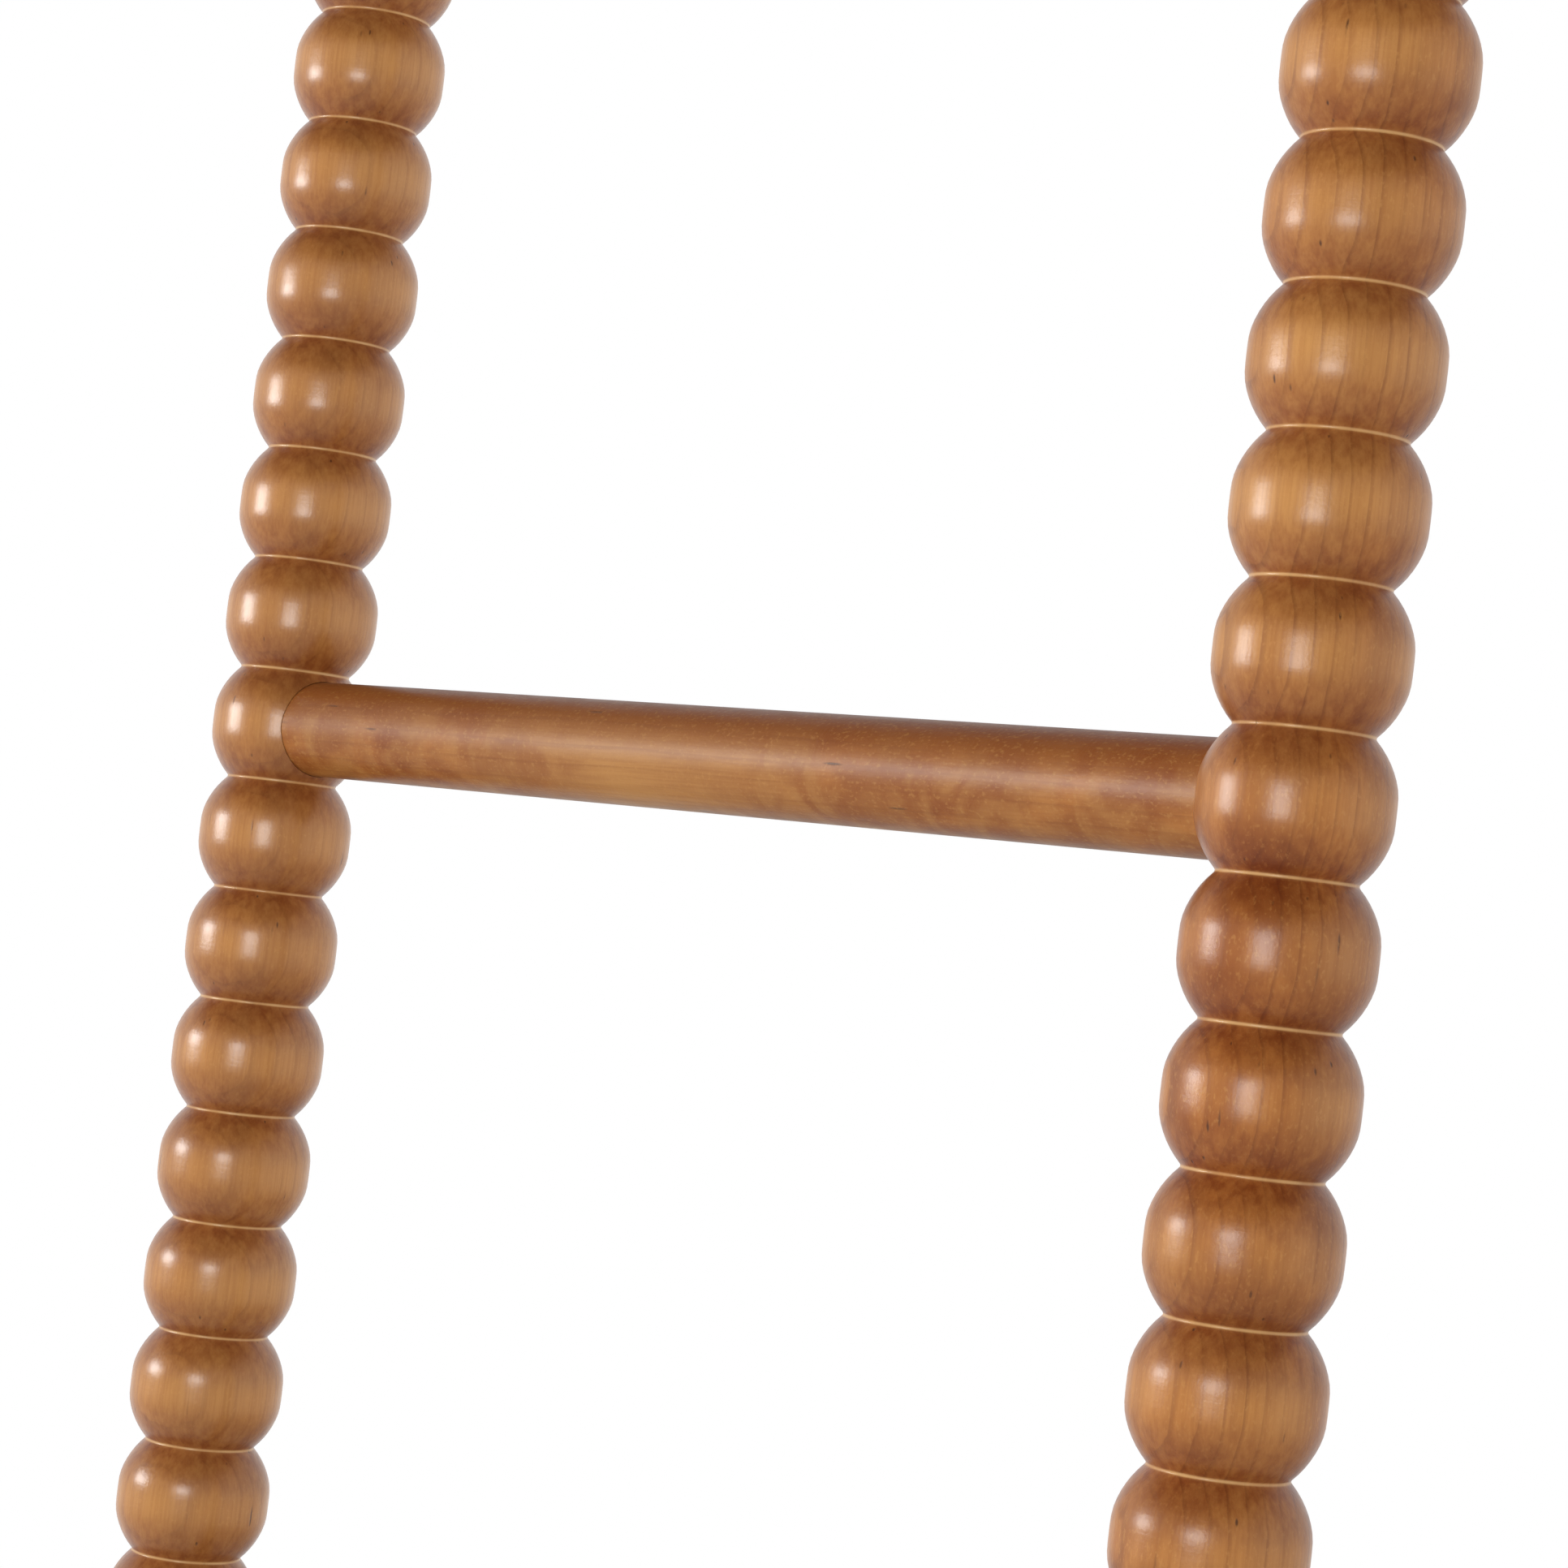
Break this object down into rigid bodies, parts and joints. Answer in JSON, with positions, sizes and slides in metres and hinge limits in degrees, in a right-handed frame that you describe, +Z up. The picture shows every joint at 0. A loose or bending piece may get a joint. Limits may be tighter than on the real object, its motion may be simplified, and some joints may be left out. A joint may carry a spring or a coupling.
{
  "type": "decorative ladder",
  "caption": "Leaning wooden blanket ladder with bobbin-turned rails, round dowel rungs and rubber feet.",
  "frame": {"origin": "on the floor, half way between the two rails and half way between the front of the feet and the wall", "axes": "+X along the rungs from the left rail to the right one, +Y back towards the wall that the ladder leans on, +Z up"},
  "size_m": [0.508, 0.3299, 1.812],
  "materials": {
    "stained_wood": "satin",
    "rubber": "matte",
    "screw_steel": "satin"
  },
  "bodies": {
    "root": {"left_rail": "stained_wood", "right_rail": "stained_wood", "rung_1": "stained_wood", "rung_2": "stained_wood", "rung_3": "stained_wood", "rung_4": "stained_wood", "rung_5": "stained_wood", "left_foot_pad": "rubber", "right_foot_pad": "rubber", "left_foot_screw": "screw_steel", "right_foot_screw": "screw_steel"}
  },
  "joints": []
}
